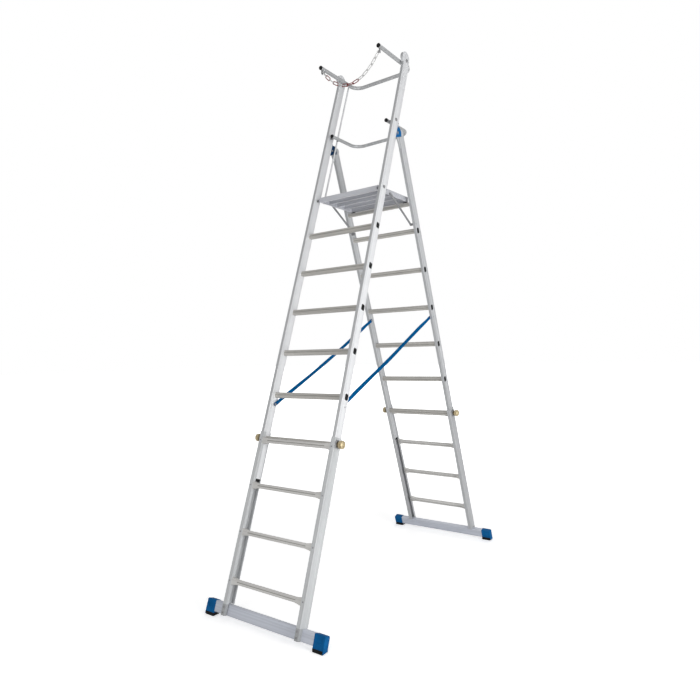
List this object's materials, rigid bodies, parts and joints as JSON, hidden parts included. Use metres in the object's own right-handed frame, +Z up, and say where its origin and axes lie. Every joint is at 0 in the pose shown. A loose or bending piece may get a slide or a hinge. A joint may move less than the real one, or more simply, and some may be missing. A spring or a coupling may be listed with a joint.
{
  "type": "telescopic platform ladder",
  "caption": "Telescopic aluminium platform ladder with two hinged legs, sliding lower sections, folding deck, guard rails and a chain.",
  "frame": {"origin": "on the floor, midway between the front and rear feet and midway across", "axes": "+X across to the right of the climber, +Y from the climbing side to the back, +Z up"},
  "size_m": [0.938, 2.3738, 3.8258],
  "materials": {
    "aluminium": "mill satin",
    "lower_aluminium": "mill satin",
    "rung_metal": "ribbed satin",
    "deck_metal": "ribbed satin",
    "steel": "zinc plated",
    "black_plastic": "matt",
    "blue_plastic": "semi-matt",
    "rubber": "matt",
    "webbing": "woven",
    "brass": "worn",
    "chain_red": "semi-gloss",
    "chain_white": "semi-gloss"
  },
  "bodies": {
    "front_frame": {"front_stile_left": "aluminium", "front_stile_right": "aluminium", "front_rungs": "rung_metal", "front_rung_plugs": "black_plastic", "front_plugs": "black_plastic", "hinge_blocks": "blue_plastic", "pivot_bolts": "steel", "pivot_spacers": "black_plastic", "front_strap_studs": "steel", "strap_left": "webbing", "strap_right": "webbing"},
    "front_base": {"front_outer_left": "lower_aluminium", "front_outer_right": "lower_aluminium", "front_lower_rungs": "rung_metal", "front_traverse": "lower_aluminium", "front_shoes": "blue_plastic", "front_soles": "rubber", "front_lock_housings": "steel", "front_rivets": "steel", "front_brackets": "steel", "front_bolts": "steel"},
    "rear_frame": {"rear_stile_left": "aluminium", "rear_stile_right": "aluminium", "rear_rungs": "rung_metal", "rear_rung_plugs": "black_plastic", "rear_plugs": "black_plastic", "hinge_tongues": "aluminium", "rest_bar": "rung_metal", "rest_pads": "black_plastic", "rear_studs": "steel"},
    "rear_base": {"rear_outer_left": "lower_aluminium", "rear_outer_right": "lower_aluminium", "rear_lower_rungs": "rung_metal", "rear_traverse": "lower_aluminium", "rear_shoes": "blue_plastic", "rear_soles": "rubber", "rear_lock_housings": "steel", "rear_rivets": "steel", "rear_brackets": "steel", "rear_bolts": "steel"},
    "deck": {"deck_cheeks": "deck_metal", "deck_planks": "deck_metal", "deck_edges": "deck_metal", "deck_studs": "steel"},
    "top_rail": {"top_rail_tube": "aluminium", "top_rail_caps": "black_plastic", "top_rail_studs": "steel", "chain_lugs": "steel"},
    "knee_rail": {"knee_rail_tube": "aluminium", "knee_rail_caps": "black_plastic", "knee_rail_studs": "steel"},
    "chain": {"chain_dark": "chain_red", "chain_pale": "chain_white"},
    "links": {"link_rods": "aluminium"},
    "struts": {"deck_struts": "aluminium"},
    "lock_front_left": {"lock_front_left": "brass"},
    "lock_front_right": {"lock_front_right": "brass"},
    "lock_rear_left": {"lock_rear_left": "brass"},
    "lock_rear_right": {"lock_rear_right": "brass"}
  },
  "joints": [
    {"name": "rear_fold", "type": "hinge", "parent": "front_frame", "child": "rear_frame", "pos_m": [0, 0, 3.18321], "axis": [-1, 0, 0], "range_deg": [0, 38.5], "deforming": ["strap_left", "strap_right"]},
    {"name": "front_telescope", "type": "slide", "parent": "front_frame", "child": "front_base", "axis": [0, 0.3297, 0.9441], "range_m": [0, 0.6]},
    {"name": "rear_telescope", "type": "slide", "parent": "rear_frame", "child": "rear_base", "axis": [0, -0.3297, 0.9441], "range_m": [0, 0.6]},
    {"name": "deck_fold", "type": "hinge", "parent": "front_frame", "child": "deck", "pos_m": [0, -0.20045, 2.74919], "axis": [1, 0, 0], "range_deg": [0, 58.01]},
    {"name": "top_rail_fold", "type": "hinge", "parent": "front_frame", "child": "top_rail", "pos_m": [0, 0.15265, 3.76031], "axis": [1, 0, 0], "range_deg": [0, 58.01]},
    {"name": "knee_rail_fold", "type": "hinge", "parent": "front_frame", "child": "knee_rail", "pos_m": [0, -0.01807, 3.27146], "axis": [1, 0, 0], "range_deg": [0, 58.01]},
    {"name": "chain_swing", "type": "hinge", "parent": "top_rail", "child": "chain", "pos_m": [0, -0.14335, 3.72414], "axis": [1, 0, 0], "range_deg": [-58.01, 0]},
    {"name": "link_fold", "type": "hinge", "parent": "deck", "child": "links", "pos_m": [0, -0.12845, 2.74919], "axis": [1, 0, 0], "range_deg": [-58.01, 0]},
    {"name": "strut_fold", "type": "hinge", "parent": "rear_frame", "child": "struts", "pos_m": [0, 0.23969, 2.57011], "axis": [-1, 0, 0], "range_deg": [0, 33.98]},
    {"name": "lock_pull_front_left", "type": "slide", "parent": "front_base", "child": "lock_front_left", "axis": [-1, 0, 0], "range_m": [0, 0.014], "stiffness_N_per_m": 900},
    {"name": "lock_pull_front_right", "type": "slide", "parent": "front_base", "child": "lock_front_right", "axis": [1, 0, 0], "range_m": [0, 0.014], "stiffness_N_per_m": 900},
    {"name": "lock_pull_rear_left", "type": "slide", "parent": "rear_base", "child": "lock_rear_left", "axis": [-1, 0, 0], "range_m": [0, 0.014], "stiffness_N_per_m": 900},
    {"name": "lock_pull_rear_right", "type": "slide", "parent": "rear_base", "child": "lock_rear_right", "axis": [1, 0, 0], "range_m": [0, 0.014], "stiffness_N_per_m": 900}
  ],
  "couplings": [
    {"joint": "deck_fold", "follows": "rear_fold", "ratio": 1.5065},
    {"joint": "top_rail_fold", "follows": "rear_fold", "ratio": 1.5065},
    {"joint": "knee_rail_fold", "follows": "rear_fold", "ratio": 1.5065},
    {"joint": "chain_swing", "follows": "rear_fold", "ratio": -1.5065},
    {"joint": "link_fold", "follows": "rear_fold", "ratio": -1.5065},
    {"joint": "strut_fold", "follows": "rear_fold", "ratio": 0.88221}
  ]
}
